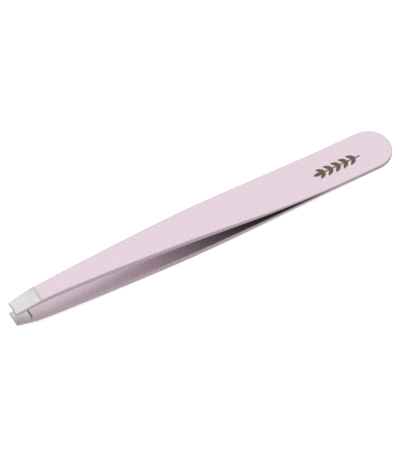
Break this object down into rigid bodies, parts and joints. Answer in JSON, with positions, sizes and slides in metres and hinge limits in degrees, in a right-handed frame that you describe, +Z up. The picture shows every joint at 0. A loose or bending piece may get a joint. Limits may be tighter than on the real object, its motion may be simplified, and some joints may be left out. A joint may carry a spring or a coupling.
{
  "type": "tweezers",
  "caption": "Square-tipped cosmetic tweezers: two bowed spring arms welded at a rounded heel, pink powder coat, bare ground gripping tips.",
  "frame": {"origin": "centre of the bottom face of the bounding box: the part lies as on a table, on the lower edge of its heel and on its lower arm", "axes": "+X along the part towards the rounded heel, so the tips are at -X; +Y across its width; +Z up, with the closing plane leaning 3 degrees about Y so that the tips are raised"},
  "size_m": [0.096, 0.0108, 0.0088],
  "materials": {
    "pink_powder_coat": "pale pink powder coat, satin, with a fine pearly grain",
    "ground_steel": "stainless steel, satin ground on the tips",
    "weld_steel": "fused stainless steel of a spot weld",
    "bronze_ink": "bronze-brown printing ink, slightly metallic"
  },
  "bodies": {
    "heel": {"upper_arm_heel": "ground_steel", "lower_arm_heel": "ground_steel", "upper_coat_heel": "pink_powder_coat", "lower_coat_heel": "pink_powder_coat", "spot_weld_rear": "weld_steel", "spot_weld_front": "weld_steel", "printed_sprig": "bronze_ink"},
    "upper_blade": {"upper_arm_blade": "ground_steel", "upper_coat_blade": "pink_powder_coat"},
    "lower_blade": {"lower_arm_blade": "ground_steel", "lower_coat_blade": "pink_powder_coat"}
  },
  "joints": [
    {"name": "upper_arm_flex", "type": "hinge", "parent": "heel", "child": "upper_blade", "pos_m": [0.02007, 0, 0.00282], "axis": [0, -1, 0], "range_deg": [0, 1.17], "stiffness_Nm_per_rad": 2.5},
    {"name": "lower_arm_flex", "type": "hinge", "parent": "heel", "child": "lower_blade", "pos_m": [0.01999, 0, 0.00118], "axis": [0, 1, 0], "range_deg": [0, 1.17], "stiffness_Nm_per_rad": 2.5}
  ]
}
